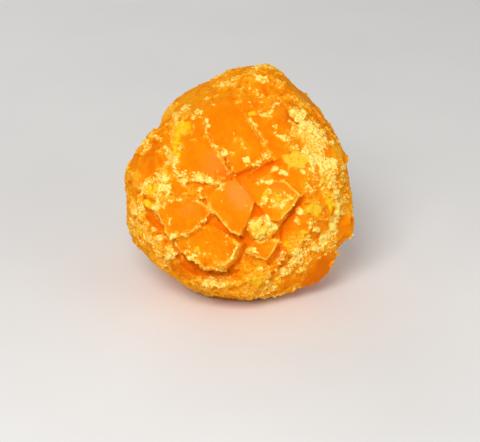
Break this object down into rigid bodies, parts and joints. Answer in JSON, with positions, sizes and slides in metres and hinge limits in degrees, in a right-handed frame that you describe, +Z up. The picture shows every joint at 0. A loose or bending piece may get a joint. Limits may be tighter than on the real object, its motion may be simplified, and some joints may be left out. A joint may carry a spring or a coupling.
{
  "type": "jaggery lump",
  "caption": "Hand-pressed lump of jaggery, broken open on one side, with flat waxy shards lapping in the break and sugar crumbs along the edges.",
  "frame": {"origin": "in the plane of the flat foot, under the middle of the lump's bounding box", "axes": "+Z up; the broken face looks along -Y and 25 degrees up; +X is to the right of the broken face"},
  "size_m": [0.0752, 0.071, 0.0731],
  "materials": {
    "jaggery": "waxy, slightly translucent orange cane sugar with pale dry crumbs along its broken edges"
  },
  "bodies": {
    "root": {"jaggery_lump": "jaggery"}
  },
  "joints": []
}
